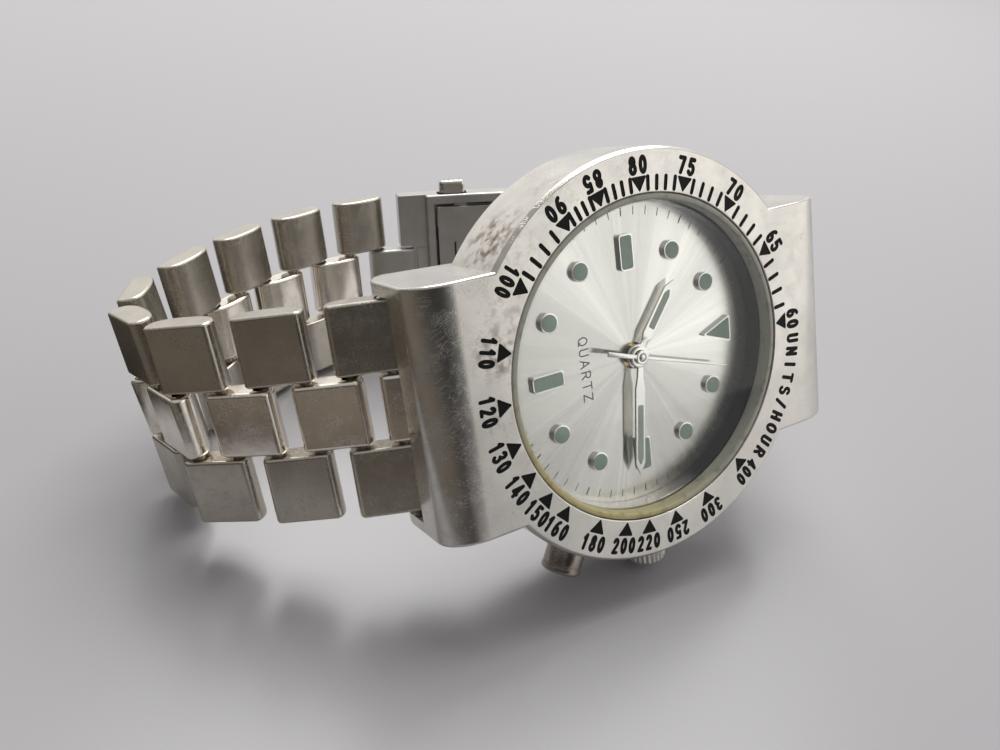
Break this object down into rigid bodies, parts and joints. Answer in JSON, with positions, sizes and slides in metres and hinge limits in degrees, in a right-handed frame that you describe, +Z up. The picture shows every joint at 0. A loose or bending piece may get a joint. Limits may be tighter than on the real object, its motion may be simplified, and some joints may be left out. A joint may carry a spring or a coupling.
{
  "type": "analogue quartz wristwatch",
  "caption": "Steel quartz wristwatch with a hooded case, fixed tachymeter bezel, flat crystal, crown, side pusher and three-row link bracelet with a folding clasp.",
  "frame": {"origin": "centre of the crystal's front face, on the hands' axis and in the bezel's front plane; the watch lies on its side on a table, as it does when it is put down with its bracelet closed", "axes": "+X along the dial towards 12 o'clock and along the row's longest side, +Y from the dial back through the bracelet loop, +Z up from the table; the dial looks to -Y and leans back by 21 degrees"},
  "size_m": [0.0711, 0.0551, 0.0398],
  "materials": {
    "satin_steel": "satin, lightly scratched",
    "polished_steel": "polished",
    "crystal_glass": "clear, flat",
    "aged_gasket": "yellowed",
    "black_rubber": "matt",
    "silver_dial": "sunburst",
    "white_nylon": "matt",
    "movement_plate": "plated",
    "battery_steel": "bright",
    "copper_winding": "enamelled wire",
    "green_board": "circuit board",
    "wheel_brass": "turned"
  },
  "bodies": {
    "case": {"case_body": "satin_steel", "case_back": "satin_steel", "case_back_gasket": "black_rubber", "crystal": "crystal_glass", "crystal_gasket": "aged_gasket", "spring_bar_6": "satin_steel", "spring_bar_12": "satin_steel", "dial": "silver_dial", "movement_ring": "white_nylon", "main_plate": "movement_plate", "train_bridge": "movement_plate", "battery": "battery_steel", "coil": "copper_winding", "stator": "movement_plate", "circuit_board": "green_board"},
    "hour_hand": {"hour_hand": "polished_steel", "hour_wheel": "wheel_brass"},
    "minute_hand": {"minute_hand": "polished_steel", "cannon_pinion": "wheel_brass"},
    "seconds_hand": {"seconds_hand": "polished_steel", "seconds_wheel": "wheel_brass"},
    "centre_wheel": {"centre_wheel": "wheel_brass"},
    "third_wheel": {"third_wheel": "wheel_brass"},
    "step_wheel": {"step_wheel": "wheel_brass"},
    "rotor": {"rotor": "battery_steel"},
    "minute_wheel": {"minute_wheel": "wheel_brass"},
    "winding_stem": {"winding_stem": "satin_steel"},
    "crown": {"crown": "polished_steel"},
    "pusher": {"pusher": "polished_steel"},
    "link_6_1": {"outer_links_6_1": "satin_steel", "centre_link_6_1": "polished_steel"},
    "link_6_2": {"outer_links_6_2": "satin_steel", "centre_link_6_2": "polished_steel"},
    "link_6_3": {"outer_links_6_3": "satin_steel", "centre_link_6_3": "polished_steel"},
    "link_6_4": {"outer_links_6_4": "satin_steel", "centre_link_6_4": "polished_steel"},
    "link_6_5": {"outer_links_6_5": "satin_steel", "centre_link_6_5": "polished_steel"},
    "link_6_6": {"outer_links_6_6": "satin_steel", "centre_link_6_6": "polished_steel"},
    "link_6_7": {"outer_links_6_7": "satin_steel", "centre_link_6_7": "polished_steel"},
    "link_6_8": {"outer_links_6_8": "satin_steel", "centre_link_6_8": "polished_steel"},
    "link_6_9": {"outer_links_6_9": "satin_steel", "centre_link_6_9": "polished_steel"},
    "link_12_1": {"outer_links_12_1": "satin_steel", "centre_link_12_1": "polished_steel"},
    "link_12_2": {"outer_links_12_2": "satin_steel", "centre_link_12_2": "polished_steel"},
    "link_12_3": {"outer_links_12_3": "satin_steel", "centre_link_12_3": "polished_steel"},
    "clasp_cover": {"clasp_cover": "satin_steel"},
    "clasp_middle_leaf": {"clasp_middle_leaf": "satin_steel"},
    "clasp_inner_leaf": {"clasp_inner_leaf": "satin_steel"},
    "clasp_button_upper": {"clasp_button_upper": "satin_steel"},
    "clasp_button_lower": {"clasp_button_lower": "satin_steel"}
  },
  "joints": [
    {"name": "minute_hand_turn", "type": "hinge", "parent": "case", "child": "minute_hand", "pos_m": [0.0001, 0.0042, -0.0016], "axis": [0.0218, 0.9342, -0.3561], "continuous": true},
    {"name": "hour_hand_turn", "type": "hinge", "parent": "case", "child": "hour_hand", "pos_m": [0.0001, 0.0042, -0.0016], "axis": [0.0218, 0.9342, -0.3561], "continuous": true},
    {"name": "minute_wheel_turn", "type": "hinge", "parent": "case", "child": "minute_wheel", "pos_m": [-0.00299, 0.0046, -0.00076], "axis": [0.0218, 0.9342, -0.3561], "continuous": true},
    {"name": "seconds_hand_turn", "type": "hinge", "parent": "case", "child": "seconds_hand", "pos_m": [0.0001, 0.0042, -0.0016], "axis": [0.0218, 0.9342, -0.3561], "continuous": true},
    {"name": "centre_wheel_turn", "type": "hinge", "parent": "case", "child": "centre_wheel", "pos_m": [0.0001, 0.0042, -0.0016], "axis": [0.0218, 0.9342, -0.3561], "continuous": true},
    {"name": "third_wheel_turn", "type": "hinge", "parent": "case", "child": "third_wheel", "pos_m": [0.00204, 0.00311, -0.00435], "axis": [0.0218, 0.9342, -0.3561], "continuous": true},
    {"name": "step_wheel_turn", "type": "hinge", "parent": "case", "child": "step_wheel", "pos_m": [-0.0001, 0.00545, 0.00166], "axis": [0.0218, 0.9342, -0.3561], "continuous": true},
    {"name": "rotor_turn", "type": "hinge", "parent": "case", "child": "rotor", "pos_m": [0.00202, 0.00612, 0.00354], "axis": [0.0218, 0.9342, -0.3561], "continuous": true},
    {"name": "crown_pull", "type": "slide", "parent": "case", "child": "winding_stem", "axis": [0.057, -0.3567, -0.9325], "range_m": [0, 0.001]},
    {"name": "crown_turn", "type": "hinge", "parent": "winding_stem", "child": "crown", "pos_m": [0.00123, -0.00321, -0.02014], "axis": [0.057, -0.3567, -0.9325], "continuous": true},
    {"name": "pusher_press", "type": "slide", "parent": "case", "child": "pusher", "axis": [0.4182, 0.315, 0.852], "range_m": [0, 0.0008], "stiffness_N_per_m": 1500},
    {"name": "link_6_1_hinge", "type": "hinge", "parent": "case", "child": "link_6_1", "pos_m": [-0.02138, 0.00775, -0.00427], "axis": [-0.057, 0.3567, 0.9325], "range_deg": [0, 25]},
    {"name": "link_6_2_hinge", "type": "hinge", "parent": "link_6_1", "child": "link_6_2", "pos_m": [-0.02484, 0.00949, -0.00515], "axis": [-0.0926, 0.3196, 0.943], "range_deg": [0, 10]},
    {"name": "link_6_3_hinge", "type": "hinge", "parent": "link_6_2", "child": "link_6_3", "pos_m": [-0.03123, 0.01373, -0.00721], "axis": [-0.1278, 0.2815, 0.951], "range_deg": [0, 11]},
    {"name": "link_6_4_hinge", "type": "hinge", "parent": "link_6_3", "child": "link_6_4", "pos_m": [-0.03692, 0.01878, -0.00948], "axis": [-0.1625, 0.2425, 0.9564], "range_deg": [0, 41]},
    {"name": "link_6_5_hinge", "type": "hinge", "parent": "link_6_4", "child": "link_6_5", "pos_m": [-0.03813, 0.02634, -0.01159], "axis": [-0.1964, 0.2028, 0.9593], "range_deg": [0, 39]},
    {"name": "link_6_6_hinge", "type": "hinge", "parent": "link_6_5", "child": "link_6_6", "pos_m": [-0.03466, 0.03343, -0.01239], "axis": [-0.161, 0.2112, 0.9641], "range_deg": [0, 31]},
    {"name": "link_6_7_hinge", "type": "hinge", "parent": "link_6_6", "child": "link_6_7", "pos_m": [-0.02825, 0.03812, -0.01234], "axis": [-0.1252, 0.2191, 0.9676], "range_deg": [0, 10]},
    {"name": "link_6_8_hinge", "type": "hinge", "parent": "link_6_7", "child": "link_6_8", "pos_m": [-0.02128, 0.04192, -0.0123], "axis": [-0.0893, 0.2265, 0.9699], "range_deg": [0, 15]},
    {"name": "link_6_9_hinge", "type": "hinge", "parent": "link_6_8", "child": "link_6_9", "pos_m": [-0.01366, 0.04414, -0.01212], "axis": [-0.0531, 0.2334, 0.9709], "range_deg": [0, 14]},
    {"name": "link_12_1_hinge", "type": "hinge", "parent": "case", "child": "link_12_1", "pos_m": [0.02174, 0.00775, -0.00164], "axis": [-0.057, 0.3567, 0.9325], "range_deg": [-25, 0]},
    {"name": "link_12_2_hinge", "type": "hinge", "parent": "link_12_1", "child": "link_12_2", "pos_m": [0.02483, 0.01014, -0.00236], "axis": [-0.0369, 0.299, 0.9536], "range_deg": [-29, 0]},
    {"name": "link_12_3_hinge", "type": "hinge", "parent": "link_12_2", "child": "link_12_3", "pos_m": [0.0282, 0.01704, -0.00439], "axis": [-0.0169, 0.2399, 0.9707], "range_deg": [-29, 0]},
    {"name": "clasp_hinge", "type": "hinge", "parent": "link_6_9", "child": "clasp_cover", "pos_m": [-0.00575, 0.04479, -0.01184], "axis": [-0.0169, 0.2399, 0.9707], "range_deg": [0, 20]},
    {"name": "clasp_fold", "type": "hinge", "parent": "clasp_cover", "child": "clasp_middle_leaf", "pos_m": [0.02441, 0.02745, -0.00703], "axis": [-0.0169, 0.2399, 0.9707], "range_deg": [0, 30]},
    {"name": "clasp_leaf_fold", "type": "hinge", "parent": "clasp_middle_leaf", "child": "clasp_inner_leaf", "pos_m": [0.0018, 0.04127, -0.01084], "axis": [-0.0169, 0.2399, 0.9707], "range_deg": [-12, 0]},
    {"name": "clasp_button_upper_press", "type": "slide", "parent": "clasp_cover", "child": "clasp_button_upper", "axis": [0.0169, -0.2399, -0.9707], "range_m": [0, 0.0006], "stiffness_N_per_m": 2000},
    {"name": "clasp_button_lower_press", "type": "slide", "parent": "clasp_cover", "child": "clasp_button_lower", "axis": [-0.0169, 0.2399, 0.9707], "range_m": [0, 0.0006], "stiffness_N_per_m": 2000}
  ],
  "couplings": [
    {"joint": "hour_hand_turn", "follows": "minute_hand_turn", "ratio": 0.083333},
    {"joint": "minute_wheel_turn", "follows": "minute_hand_turn", "ratio": -0.33333},
    {"joint": "third_wheel_turn", "follows": "seconds_hand_turn", "ratio": -0.13333},
    {"joint": "centre_wheel_turn", "follows": "seconds_hand_turn", "ratio": 0.016667},
    {"joint": "step_wheel_turn", "follows": "seconds_hand_turn", "ratio": -6},
    {"joint": "rotor_turn", "follows": "seconds_hand_turn", "ratio": 30}
  ]
}
